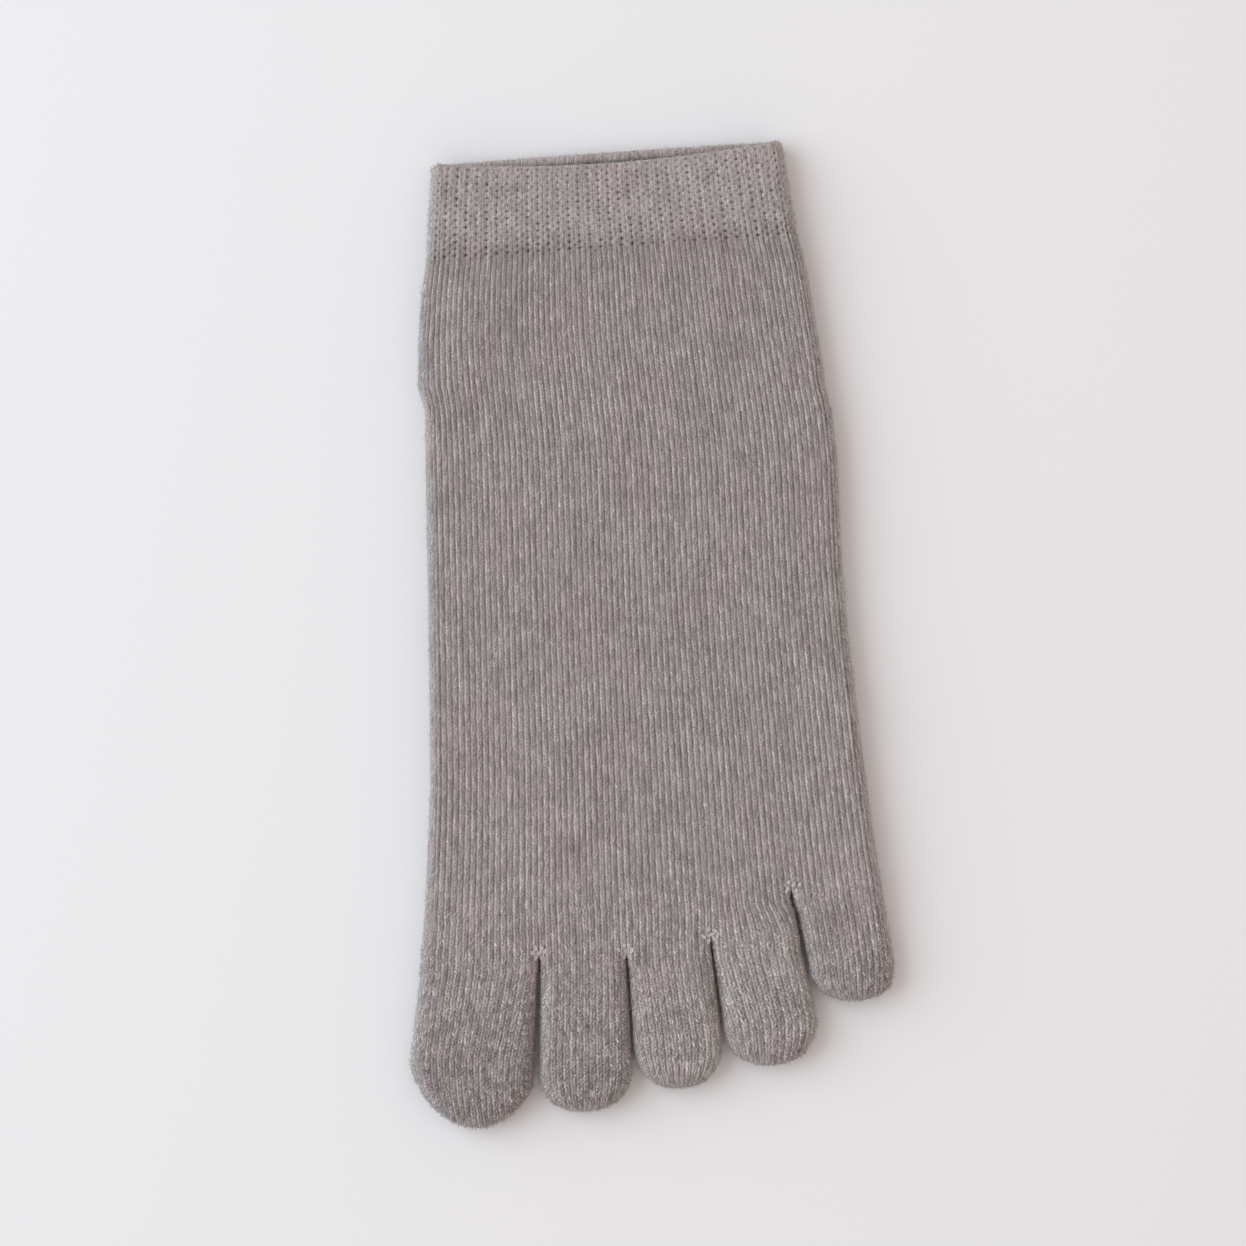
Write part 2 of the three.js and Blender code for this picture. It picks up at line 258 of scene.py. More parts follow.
def roll_length(half, reach):
    """The way round a rolled edge, from the middle of the thickness to the flat."""
    return math.pi / 2 * np.sqrt((reach * reach + half * half) / 2)


def over_layer(share, left, right, half, reach):
    """Place across and height above the middle, at a share of the way over a layer of knit."""
    roll = roll_length(half, reach)
    flat = right - left - 2 * reach
    way = share * (flat + 2 * roll)
    start = np.clip(way / roll, 0, 1) * math.pi / 2
    end = np.clip((flat + 2 * roll - way) / roll, 0, 1) * math.pi / 2
    x = left + reach * (1 - np.cos(start)) + np.clip(way - roll, 0, flat) + reach * np.cos(end)
    return x, half * np.sin(start) * np.sin(end)


def share_at(x, left, right, half, reach):
    """The share of the way over a layer where its flat stretch passes x."""
    roll = roll_length(half, reach)
    return (roll + x - left - reach) / (right - left - 2 * reach + 2 * roll)


def share_under(x, left, right, half, reach):
    """Shares of the way over a layer at any places across, on its rolled edges too."""
    shares = np.linspace(0, 1, 200)
    return np.interp(x, over_layer(shares, left, right, half, reach)[0], shares)


def fanned(wales, left, right, half, reach, crotches, last_wale):
    """Shares of the way over a layer that bring each crotch's wale to its place across."""
    known = [0] + [c["wale"] for c in crotches] + [last_wale]
    places = [0] + [share_at(BALL_WIDTH * c["across"], left, right, half, reach) for c in crotches] + [1]
    return np.interp(wales, known, places)


def toward_edge(own, count):
    """The share of its relief that the knit keeps on its way to the side edges of a layer."""
    return mix(EDGE_KEEP, 1, ease(np.minimum(own, count - own) / SMOOTH_WALES))


def crotch_dip(x, along, points):
    """The share of its height that the knit keeps near the crotches, from 0 at each to 1."""
    keep = np.ones_like(x)
    for point in points:
        distance = np.hypot(x - point[0], along - point[1])
        nearness = 1 - np.clip(distance / CROTCH_REACH, 0, 1)
        keep = np.minimum(keep, np.sqrt(1 - nearness * nearness))
    return keep


class Layer:
    """Rows of points on the outer or inner face of one side of a piece, with their wale and course."""

    def __init__(self, x, along, height, wales, courses, middle, lean=None, keep=1):
        self.x = x
        self.along = along
        self.height = height  # above the middle of the thickness
        self.wales = wales + 0 * x
        self.courses = courses + 0 * x
        self.middle = middle  # height of the middle of the thickness
        self.lean = x if lean is None else lean  # where the slope of the courses is read
        self.keep = keep  # share of the relief that is kept

    def points(self, side):
        y = SEAM_Y + self.along + SLOPE * self.lean
        return np.stack([self.x, y, self.middle + side * self.height], axis=-1)


def sizes():
    return bpy.context.scene.toe_sock


def calm(values):
    """A column of values along the foot with its quick changes levelled out, but for its two ends."""
    padded = np.pad(values[:, 0], CALM_ROWS, mode="edge")
    mean = np.convolve(padded, np.ones(2 * CALM_ROWS + 1) / (2 * CALM_ROWS + 1), "valid")[:, None]
    row = np.arange(len(values))[:, None]
    return mix(values, mean, ease(np.minimum(row, len(values) - 1 - row) / CALM_ROWS))


def foot_layer(columns, rows, inset=0.0, stop=0.0):
    """One side of the foot from the cuff seam to the little toe's. The other side mirrors it."""
    along = np.linspace(0, -FOOT_LENGTH + stop, rows + 1)[:, None]
    wales = np.linspace(0, FOOT_WALES, columns + 1)[None, :]
    half = FOOT_THICKNESS / 2 - inset
    reach = sizes().foot_roll - inset
    left = edge(FOOT_EDGES, "left", -along / FOOT_LENGTH) + inset
    right = edge(FOOT_EDGES, "right", -along / FOOT_LENGTH) - inset
    end_left = edge(FOOT_EDGES, "left", 1)
    end_right = edge(FOOT_EDGES, "right", 1)
    fan = fanned(wales, end_left, end_right, half, reach, CROTCHES, FOOT_WALES)
    share = mix(wales / FOOT_WALES, fan, ease((-along - FAN_START) / (FOOT_LENGTH - FAN_START)))
    calm_left, calm_right = calm(left), calm(right)
    x, height = over_layer(share, calm_left, calm_right, half, reach)
    x = x + (left - calm_left) * np.exp(-(x - calm_left) / CALM_REACH)
    x = x + (right - calm_right) * np.exp((x - calm_right) / CALM_REACH)
    along = along + 0 * x
    fork = (BALL_WIDTH * CROTCHES[-1]["across"], -FOOT_LENGTH)
    keep = crotch_dip(x, along, [fork]) if not inset else 1 + 0 * x
    return Layer(x, along, height * keep, wales, -along / COURSE, FOOT_THICKNESS / 2, keep=keep)


def band_layer(foot, rows, inset=0.0, start=0.0, stop=0.0):
    """One side of the short tube past the little toe that the four larger toes share."""
    last = CROTCHES[-1]["wale"]
    wales = np.linspace(0, last, last * COLUMNS_PER_WALE + 1)[None, :]
    down = np.linspace(start, BAND_LENGTH - stop, rows + 1)[:, None]
    half = FOOT_THICKNESS / 2 - inset
    reach = sizes().foot_roll - inset
    left = edge(BAND_EDGES, "left", down / BAND_LENGTH) + inset
    right = edge(BAND_EDGES, "right", down / BAND_LENGTH) - inset
    fan = fanned(wales, left[-1, 0], right[-1, 0], half, reach, CROTCHES[:-1], last)
    share = fan + 0 * down
    if not inset:
        start_share = share_under(run_on(foot, foot.x, wales), left[0], right[0], half, reach)
        start_share[0, (0, -1)] = (0, 1)
        share = mix(start_share, fan, ease(down / BAND_LENGTH))
    x, height = over_layer(share, left, right, half, reach)
    ahead = np.interp(wales, [0] + [c["wale"] for c in CROTCHES], [0] + [c["ahead"] for c in CROTCHES])
    along = -FOOT_LENGTH - down - ahead * down / BAND_LENGTH
    keep = 1 + 0 * x
    if not inset:
        forks = [(BALL_WIDTH * c["across"], -FOOT_LENGTH - BAND_LENGTH - c["ahead"]) for c in CROTCHES[:-1]]
        keep = crotch_dip(x, along, forks)
        taken = ease(down / SEAM_REACH)
        x = mix(run_on(foot, foot.x, wales), x, taken)
        height = mix(run_on(foot, foot.height, wales), height * keep, taken)
    courses = FOOT_COURSES + down * BAND_COURSES / BAND_LENGTH
    return Layer(x, along, height, wales, courses, FOOT_THICKNESS / 2, keep=keep)


def run_on(parent, values, wales):
    """Values of a parent's last row at the wales of what runs on from it."""
    return np.interp(wales, parent.wales[-1], values[-1])


def toe_way(toe, half, reach, inset):
    """Lengths along a toe's middle: its shaft, its tip, the flat of the tip and the roll of its rim."""
    shaft = toe["length"] * (1 - toe["tip"])
    tip = toe["length"] * toe["tip"] - inset
    return shaft, tip, tip - reach, roll_length(half, reach)


def toe_rows(toe):
    half = TOE_THICKNESS / 2
    shaft, _, tip_flat, roll = toe_way(toe, half, sizes().toe_roll, 0)
    return round((shaft + tip_flat + roll) / COURSE * ROWS_PER_COURSE)


def on_band(toe):
    return toe["wales"][1] <= CROTCHES[-1]["wale"]


def seam_shares(toe, parent, own, edges):
    """Shares of the way over a toe at its seam, where its wales run straight on from the parent's."""
    before, after = toe["added"]
    first, last = toe["wales"]
    kept = np.clip(own - before, 0, last - first)
    shares = share_under(run_on(parent, parent.x, first + kept), *edges)
    shares = np.where(own < before, shares * own / max(before, 1), shares)
    past = own[0, -1] - own
    shares = np.where(past < after, 1 - (1 - shares) * past / max(after, 1), shares)
    shares[0, (0, -1)] = (0, 1)
    return first + kept, shares


def tip_plan(toe, across, bend, wide, tip, reach):
    """Places on the rounded plan of a tip, as shares of its half width and length, and their height."""
    square, turn = toe["square"], toe["turn"]
    plan_x = across * (1 - turn * bend**square) ** (1 / square)
    plan_y = bend * (1 - (1 - turn) * np.abs(across) ** square) ** (1 / square)
    rounded = np.clip((np.abs(plan_x) ** square + plan_y**square) ** (1 / square), TIP_CORE, 1)
    slope_x = (np.abs(plan_x) / rounded) ** (square - 1) / wide
    slope_y = (plan_y / rounded) ** (square - 1) / tip
    inside = (1 - rounded) / np.maximum(np.hypot(slope_x, slope_y), TINY)
    lift = 1 - np.clip(inside / reach, 0, 1)
    height = np.sqrt(np.clip(1 - lift * lift, 0, 1))
    height[:, (0, -1)] = 0
    height[-1] = 0
    return plan_x, plan_y, height


def toe_layer(toe, parent, rows, inset=0.0, start=0.0):
    """One side of a toe, from its seam to the rim of its tip."""
    half = TOE_THICKNESS / 2 - inset
    reach = sizes().toe_roll - inset
    shaft, tip, tip_flat, roll = toe_way(toe, half, reach, inset)
    way = np.linspace(start, shaft + tip_flat + roll, rows + 1)[:, None]
    down = np.minimum(way, shaft)
    turned = np.clip((way - shaft - tip_flat) / roll, 0, 1) * math.pi / 2
    bend = (np.clip(way - shaft, 0, tip_flat) + reach * np.sin(turned)) / tip

    first, last = toe["wales"]
    before, after = toe["added"]
    count = before + last - first + after
    own = np.linspace(0, count, count * COLUMNS_PER_WALE + 1)[None, :]
    left = BALL_WIDTH * mix(toe["seam"][0], toe["wide"][0], down / shaft) + inset
    right = BALL_WIDTH * mix(toe["seam"][1], toe["wide"][1], down / shaft) - inset
    centre = (left + right) / 2
    wide = (right - left) / 2
    share = own / count
    if not inset:
        wales, start_share = seam_shares(toe, parent, own, (left[0], right[0], half, reach))
        share = mix(start_share, share, ease(way / (SPREAD_SHARE * toe["length"])))
    section_x, _ = over_layer(share, left, right, half, reach)
    across = np.clip((section_x - centre) / wide, -1, 1)
    plan_x, plan_y, height = tip_plan(toe, across, bend, wide, tip, reach)

    x = mix(centre, BALL_WIDTH * toe["tip_x"], bend * bend) + plan_x * wide
    height = half * height
    reached = down + plan_y * tip
    along = -FOOT_LENGTH - (BAND_LENGTH if on_band(toe) else 0) - reached
    if not inset:
        taken = ease(way / SEAM_REACH)
        x = mix(run_on(parent, parent.x, wales), x, taken)
        along = mix(run_on(parent, parent.along, wales) - reached, along, taken)
        height = mix(run_on(parent, parent.height, wales), height, taken)
    lean = mix(x, BALL_WIDTH * sum(toe["seam"]) / 2, np.clip(reached / toe["length"], 0, 1))
    courses = FOOT_COURSES + (BAND_COURSES if on_band(toe) else 0) + way / COURSE
    keep = mix(EDGE_KEEP, 1, ease((way[-1] - way) / TIP_SMOOTH)) * toward_edge(own, count)
    return Layer(x, along, height, first - before + own, courses, TOE_THICKNESS / 2, lean, keep)


def cuff_layer(side):
    """One side of the cuff: up its outer face, over the rim and down its inner face."""
    rim = CUFF_WALL / 2
    turn = np.linspace(0, math.pi, CUFF_RIM_ROWS + 1)[1:-1]
    rising = np.linspace(0, 1, CUFF_ROWS + 1)
    falling = np.linspace(1, 0, CUFF_INNER_ROWS + 1)
    up = np.concatenate([rising, np.ones(len(turn)), falling])[:, None]
    over = np.concatenate([0 * rising, rim * np.sin(turn), 0 * falling])[:, None]
    inset = np.concatenate([0 * rising, rim * (1 - np.cos(turn)), CUFF_WALL + 0 * falling])[:, None]
    wales = np.linspace(0, FOOT_WALES, FOOT_WALES * COLUMNS_PER_WALE + 1)[None, :]
    share = wales / FOOT_WALES
    from_sides = 1 - (2 * share - 1) * (2 * share - 1)
    along = up * (CUFF_HEIGHT - rim - (RIM_DIP * from_sides if side == UPPER else 0 * share)) + over

    gripped = 1 - ease(along / CUFF_GRIP)  # the cuff draws in to the foot at their seam
    near_rim = 1 - np.clip((CUFF_HEIGHT - along) / CORNER, 0, 1)
    rounding = CORNER * (1 - np.sqrt(1 - near_rim * near_rim))
    middle = mix(CUFF_THICKNESS, FOOT_THICKNESS, gripped) / 2
    left = mix(edge(CUFF_EDGES, "left", up), edge(FOOT_EDGES, "left", 0), gripped) + inset + rounding
    right = mix(edge(CUFF_EDGES, "right", up), edge(FOOT_EDGES, "right", 0), gripped) - inset - rounding
    x, height = over_layer(share, left, right, middle - inset, sizes().foot_roll - inset)
    if side == UPPER:
        shift = -sizes().mouth_sag * ease(up) * from_sides
    else:
        risen = ease((LIP_REACH - CUFF_HEIGHT + along) / (LIP_REACH - LIP_FLAT))
        shift = sizes().lip_lift * risen * from_sides
    rows = np.arange(len(x))[:, None] + 0 * x
    return Layer(x, along, height, wales, rows / CUFF_COURSE_ROWS, middle), rows, shift


def outward(points, side, closed_end):
    """Directions out of a face. Along its rims they lie level, so that both sides agree."""
    normal = unit(np.cross(np.gradient(points, axis=1), np.gradient(points, axis=0)))
    if normal[1:20, 20:-20, 2].mean() * side < 0:
        normal = -normal
    normal[:, 0] = level(points[:, 0], points[:, 1])
    normal[:, -1] = level(points[:, -1], points[:, -2])
    if closed_end:
        normal[-1] = level(points[-1], points[-2])
    return normal


def level(rim, inside):
    """Level directions square to a rim, all to one hand: the one away from the inside at its start."""
    run = np.gradient(rim, axis=0)
    flat = unit(np.stack([run[:, 1], -run[:, 0], 0 * run[:, 0]], axis=-1))
    away = ((rim - inside) * flat)[: len(rim) // 3].sum()
    return flat if away > 0 else -flat


def raised(layer, side, relief, closed_end=False):
    """The layer's points with its relief raised along the way out, less where columns crowd."""
    points = layer.points(side)
    room = np.clip(np.linalg.norm(np.gradient(points, axis=1), axis=-1) / CROWDED, 0, 1)
    points = points + outward(points, side, closed_end) * (relief * layer.keep * room)[..., None]
    points[..., 2] = np.maximum(points[..., 2], 0)  # it lies on the table
    return points


def wales_round(wales, side):
    """Wales counted on round the tube, so that the lower side doesn't mirror the upper one."""
    return wales if side == UPPER else 2 * FOOT_WALES - wales


def relief_of(relief, wales, courses, side, closed_end=False):
    """The relief of one side, which along its rims is the upper side's on both."""
    counted = wales_round(wales, side)
    counted = np.concatenate([wales[:, :1], counted[:, 1:-1], wales[:, -1:]], axis=1)
    if closed_end:
        counted = np.concatenate([counted[:-1], wales[-1:]])
    return relief(counted, courses)


def plain_relief(wales, courses):
    """Relief of plain knit: each wale has two legs of stitches, and a groove on either side."""
    knit = sizes()
    phase = wales % 1
    index = np.floor(wales + 0.01)
    leg = np.where(phase < 0.5, 1, 2) * ((phase > GROOVE_SHARE) & (phase < 1 - GROOVE_SHARE) & (phase != 0.5))
    own_rise = wander(index * 1.7 + 40 * leg, courses / 7, 11)
    proud = 0.75 + 0.4 * own_rise + 0.4 * wander(wales * 5, courses / 2, 12)
    ridge = np.where(leg > 0, proud, -0.55 + 0.45 * wander(index * 2.3, courses / 4, 15))
    skew = np.where(leg == 1, 0.14, -0.28)
    bulge = np.cos(2 * math.pi * (courses + skew)) * (leg > 0) * (1 + wander(wales * 3, courses, 13))
    on_toes = np.clip((courses - TOE_LOOK_START) / TOE_LOOK_RUN, 0, 1)
    relief = knit.groove_depth * (1 - 0.4 * on_toes) * (ridge - 0.4)
    relief = relief + knit.stitch_rise * (1 + on_toes) * bulge
    return relief + knit.fuzz_rise * (1 + on_toes) * wander(wales * 3, courses * 2, 14)


def rib_relief(wales, rows):
    """Relief of the cuff: a column of dimples to each rib, between two ridges."""
    knit = sizes()
    aside = wales - RIB_WALES * np.round(wales / RIB_WALES)
    unsteady = wander(wales / RIB_WALES, rows / 5, 21)
    beat = -np.cos(2 * math.pi * (rows / DIMPLE_ROWS + 0.15 * unsteady))
    deep = np.clip(0.15 + 1.1 * beat, 0, 1) * np.exp(-((aside / 0.42) ** 2))
    shallow = 0.55 * np.clip(-beat, 0, 1) * np.exp(-(((np.abs(aside) - 1) / 0.3) ** 2))
    near_seam = 1 + 0.3 * np.exp(-(((rows - DIMPLE_ROWS) / 2) ** 2))
    uneven = 1 + 0.6 * wander(wales / RIB_WALES * 1.7, rows / DIMPLE_ROWS, 23)
    ridge = np.exp(-(((np.abs(aside) - 0.6) / 0.25) ** 2)) * (1 + 0.6 * wander(wales * 1.7, rows / 9, 24))
    fuzz = wander(wales * 3, rows, 22)
    relief = (
        knit.rib_rise * ridge
        - knit.dimple_depth * (deep + shallow) * near_seam * uneven
        + knit.fuzz_rise * fuzz
    )
    to_rim = np.abs(rows - CUFF_ROWS - CUFF_RIM_ROWS / 2) / (CUFF_RIM_ROWS / 2)
    return relief * mix(0.3, 1, ease((to_rim - 1) / 2)) * mix(0.3, 1, ease(rows / 2))


def fold_rise(x, along):
    """Rise of the upper side of the foot from its soft folds."""
    rise = sizes().sway_rise * wander(x / SWAY_PITCH + 3, along / SWAY_PITCH / 1.6, 61)
    for fold in SOFT_FOLDS:
        turn = math.radians(fold["turn"])
        aside = x - fold["across"] * BALL_WIDTH
        down = along + fold["along"] * FOOT_LENGTH
        run = (aside * math.cos(turn) + down * math.sin(turn)) / (fold["run"] * FOOT_LENGTH)
        spread = (down * math.cos(turn) - aside * math.sin(turn)) / (fold["spread"] * BALL_WIDTH)
        rise = rise + fold["rise"] * FOOT_THICKNESS * np.exp(-run * run - spread * spread)
    return rise


def gather_rise(x, along):
    """Puckers where the foot is drawn in under the cuff."""
    fading = np.clip(1 + along / GATHER_REACH, 0, 1) ** 2
    return sizes().gather_rise * np.cos(2 * math.pi * x / GATHER_PITCH) * fading


def ring_sheet(outer, outer_points, inner, side):
    """One side of an open tube: its outer face, the far end, its inner face and the near end."""
    points = np.concatenate([outer_points, inner.points(side)[::-1], outer_points[:1]])
    wales = wales_round(np.concatenate([outer.wales, inner.wales[::-1], outer.wales[:1]]), side)
    courses = np.concatenate([outer.courses, inner.courses[::-1], outer.courses[:1]])
    return points, wales, courses, (0, len(outer_points) - 1, len(points) - 1)


def pocket_sheet(outer, outer_points, inner, side):
    """One side of a toe: its inner face from the tip to the seam, and its outer face back."""
    points = np.concatenate([inner.points(side)[::-1], outer_points])
    wales = wales_round(np.concatenate([inner.wales[::-1], outer.wales]), side)
    courses = np.concatenate([inner.courses[::-1], outer.courses])
    return points, wales, courses, (len(points) - len(outer_points),)


def row_at(wales, layer, points, row):
    """Places on one row of a face at any wales, between its columns too."""
    return np.stack([np.interp(wales, layer.wales[row], points[row, :, axis]) for axis in range(3)], axis=-1)


def join_on(outer, points, parent_side):
    """Brings the first rows of a branch to the very places of the row that it runs on from."""
    fading = 1 - ease(np.arange(len(points)) / (SEAM_REACH * ROWS_PER_COURSE / COURSE))
    return points + (row_at(outer.kept, *parent_side, -1) - points[0])[None] * fading[:, None, None]


def knitted_foot():
    """The outer face of the foot, by side."""
    faces = {}
    for side, columns in ((UPPER, COLUMNS_PER_WALE), (LOWER, 1)):
        outer = foot_layer(FOOT_WALES * columns, FOOT_COURSES * ROWS_PER_COURSE)
        smooth = toward_edge(outer.wales, FOOT_WALES)
        points = raised(outer, side, smooth * relief_of(plain_relief, outer.wales, outer.courses, side))
        if side == UPPER:
            rise = fold_rise(outer.x, outer.along) + gather_rise(outer.x, outer.along)
            points[..., 2] += rise * outer.height / (FOOT_THICKNESS / 2)
        faces[side] = (outer, points)
    return faces


def knitted_band():
    """The outer face of the band, by side."""
    foot = knitted_foot()
    faces = {}
    for side in (UPPER, LOWER):
        outer = band_layer(foot[UPPER][0], BAND_COURSES * ROWS_PER_COURSE)
        outer.kept = outer.wales[0]
        points = raised(outer, side, relief_of(plain_relief, outer.wales, outer.courses, side))
        faces[side] = (outer, join_on(outer, points, foot[side]))
    return faces


def loop_sheet(middle, length, turn, wale):
    """A loop of yarn, which is a ring drawn out long."""
    around = np.linspace(0, 2 * math.pi, LOOP_SEGMENTS + 1)[:, None]
    about = np.linspace(0, 2 * math.pi, YARN_SEGMENTS + 1)[None, :]
    out = LOOP_YARN * np.cos(about)
    run = (length / 2 - LOOP_YARN + out) * np.cos(around)
    aside = (LOOP_WIDTH / 2 - LOOP_YARN / 2 + out) * np.sin(around)
    rise = LOOP_YARN * np.sin(about) + 0 * around
    sine, cosine = math.sin(math.radians(turn)), math.cos(math.radians(turn))
    points = np.stack([run * sine + aside * cosine, run * cosine - aside * sine, rise], axis=-1)
    return points + middle, wale + 0 * run, around + 0 * run, ()


def link_sheets():
    """The loops at all the crotches, which lie half sunk in the knit."""
    tops = np.concatenate([faces[UPPER][1].reshape(-1, 3) for faces in (knitted_foot(), knitted_band())])
    sheets = []
    for number, crotch in enumerate(CROTCHES):
        uneven = np.random.default_rng(number + 50)
        on_foot = crotch is CROTCHES[-1]
        along = -FOOT_LENGTH - (0 if on_foot else BAND_LENGTH + crotch["ahead"])
        x = BALL_WIDTH * crotch["across"]
        y = SEAM_Y + along + SLOPE * x
        for loop in LINK_LOOPS:
            shift = uneven.uniform(-LOOP_STRAY, LOOP_STRAY, 2)
            place = np.array([x + loop["across"] + shift[0], y + loop["back"] + shift[1]])
            top = tops[np.argmin(np.hypot(*(tops[:, :2] - place).T)), 2]
            length = loop["length"] * uneven.uniform(0.85, 1.15)
            turn = loop["turn"] + uneven.uniform(-LOOP_TURN, LOOP_TURN)
            sheets.append(loop_sheet((*place, top + LOOP_YARN * LOOP_PROUD), length, turn, crotch["wale"]))
    return sheets


def knitted_toe(toe, parent):
    """The outer face of a toe, by side."""
    faces = {}
    for side in (UPPER, LOWER):
        outer = toe_layer(toe, parent[UPPER][0], toe_rows(toe))
        outer.kept = np.clip(outer.wales[0], *toe["wales"])
        relief = relief_of(plain_relief, outer.wales, outer.courses, side, closed_end=True)
        points = raised(outer, side, relief, closed_end=True)
        faces[side] = (outer, join_on(outer, points, parent[side]))
    return faces


def knitted_toes():
    """The outer faces of all the toes, each with its own row of the table."""
    parents = {True: knitted_band(), False: knitted_foot()}
    return [(toe, knitted_toe(toe, parents[on_band(toe)])) for toe in TOES]


def knitted_cuff():
    """The faces of the cuff, by side, out over the rim and in. It starts on the foot's first row."""
    faces = {}
    foot = knitted_foot()
    for side in (UPPER, LOWER):
        layer, rows, shift = cuff_layer(side)
        points = raised(layer, side, relief_of(rib_relief, layer.wales, rows, side))
        points[..., 2] += shift
        following = 1 - ease(layer.along / CUFF_FOLLOW)
        to_foot = row_at(layer.wales[0], *foot[side], 0) - points[0]
        faces[side] = (layer, points + to_foot[None] * following[..., None])
    return faces


def fibre_roots(points, side, closed_end, density, uneven):
    """Where fibres leave one face and which way: along its rims, and on top all over it."""
    rows, columns = points.shape[:2]
    length = np.linalg.norm(np.diff(points[:, columns // 2], axis=0), axis=1).sum()
    width = np.linalg.norm(np.diff(points[rows // 2], axis=0), axis=1).sum()
    rim = int(2 * length * density)
    near = np.minimum(np.abs(uneven.normal(0, FUZZ_SPREAD, rim)), columns // 2).astype(int)
    column = [np.where(uneven.random(rim) < 0.5, near, columns - 1 - near)]
    row = [uneven.integers(1, rows - 1, rim)]
    if closed_end:
        end = int(width * density)
        column.append(uneven.integers(1, columns - 1, end))
        row.append(rows - 1 - np.minimum(np.abs(uneven.normal(0, FUZZ_SPREAD, end)), rows // 2).astype(int))
    if side == UPPER:
        top = int(length * width * FUZZ_ON_TOP)
        column.append(uneven.integers(1, columns - 1, top))
        row.append(uneven.integers(1, rows - 1, top))
    place = np.concatenate(row), np.concatenate(column)
    return points[place], outward(points, side, closed_end)[place]


def fibre_sheet():
    """Loose fibres that stand off the knit, one after another in a long sheet."""
    uneven = np.random.default_rng(90)
    rim_row = CUFF_ROWS + CUFF_RIM_ROWS // 2
    cuff = {side: (layer, points[:rim_row]) for side, (layer, points) in knitted_cuff().items()}
    faces = [(sides, False, FOOT_FUZZ) for sides in (knitted_foot(), knitted_band())]
    faces += [(sides, True, TOE_FUZZ) for _, sides in knitted_toes()] + [(cuff, True, CUFF_FUZZ)]
    found = [
        fibre_roots(points, side, closed_end, density, uneven)
        for sides, closed_end, density in faces
        for side, (_, points) in sides.items()
    ]
    root = np.concatenate([places for places, _ in found])
    away = np.concatenate([ways for _, ways in found])
    count = len(root)
    stray = uneven.normal(0, 1, (3, count, 3))
    way = unit(away + FIBRE_STRAY * stray[0])
    across = unit(np.cross(way, stray[1]))
    other = np.cross(way, across)
    length = uneven.uniform(FIBRE_SHORTEST, 1, (count, 1, 1)) * sizes().fibre_length
    along = np.linspace(0, 1, FIBRE_ROWS)[None, :, None]
    bend = unit(stray[2])[:, None] * along * along * FIBRE_BEND
    spine = root[:, None] + (way[:, None] * (along - FIBRE_ROOT) + bend) * length
    radius = FIBRE_RADIUS * np.where((along > 0) & (along < 1), 1, 0)
    about = np.linspace(0, 2 * math.pi, FIBRE_SIDES + 1)[None, None, :, None]
    ring = across[:, None, None] * np.cos(about) + other[:, None, None] * np.sin(about)
    points = (spine[:, :, None] + ring * radius[..., None]).reshape(-1, FIBRE_SIDES + 1, 3)
    points[..., 2] = np.maximum(points[..., 2], 0)
    flat = np.zeros(points.shape[:2])
    return points, flat, flat, ()


def unit(vectors):
    """Vectors brought to a length of 1, but for those with hardly any."""
    return vectors / np.maximum(np.linalg.norm(vectors, axis=-1, keepdims=True), TINY)


def knit_mesh(sheets):
    """One closed mesh from rectangular sheets of points that meet along their edges."""
    joined = bmesh.new()
    for points, wales, courses, sharp_rows in sheets:
        rows, columns = wales.shape
        grid = bmesh.new()
        grid.loops.layers.uv.new("Knit")
        bmesh.ops.create_grid(grid, x_segments=columns - 1, y_segments=rows - 1, size=0.5, calc_uvs=True)
        sheet = bpy.data.meshes.new("sheet")
        grid.to_mesh(sheet)
        grid.free()
        sheet.vertices.foreach_set("co", (points * MM).reshape(-1).astype(np.float32))
        corners = np.empty(len(sheet.loops), np.int32)
        sheet.loops.foreach_get("vertex_index", corners)
        places = np.stack([wales.reshape(-1)[corners], courses.reshape(-1)[corners]], axis=-1)
        sheet.uv_layers["Knit"].uv.foreach_set("vector", places.reshape(-1).astype(np.float32))
        sharpen(sheet, columns, sharp_rows)
        joined.from_mesh(sheet)
        bpy.data.meshes.remove(sheet)
    bmesh.ops.remove_doubles(joined, verts=joined.verts, dist=MERGE * MM)
    loose = [each for each in joined.edges if not each.link_faces]
    bmesh.ops.delete(joined, geom=loose, context="EDGES")
    bmesh.ops.recalc_face_normals(joined, faces=joined.faces)
    for face in joined.faces:
        face.smooth = True
    return joined


def sharpen(sheet, columns, sharp_rows):
    """Marks the edges along some rows of a sheet sharp, so that no seam shows where pieces meet."""
    ends = np.empty(2 * len(sheet.edges), np.int32)
    sheet.edges.foreach_get("vertices", ends)
    rows = ends.reshape(-1, 2) // columns
    sharp = (rows[:, 0] == rows[:, 1]) & np.isin(rows[:, 0], sharp_rows)
    marks = sheet.attributes.new("sharp_edge", "BOOLEAN", "EDGE")
    marks.data.foreach_set("value", sharp)


def add_piece(name, bm, material):
    """Writes a bmesh to a new piece that rides on the sock's one body."""
    mesh = bpy.data.meshes.new(name)
    bm.to_mesh(mesh)
    bm.free()
    mesh.materials.append(material)
    piece = bpy.data.objects.new(name, mesh)
    bpy.context.scene.collection.objects.link(piece)
    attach(piece, "root")
    return piece


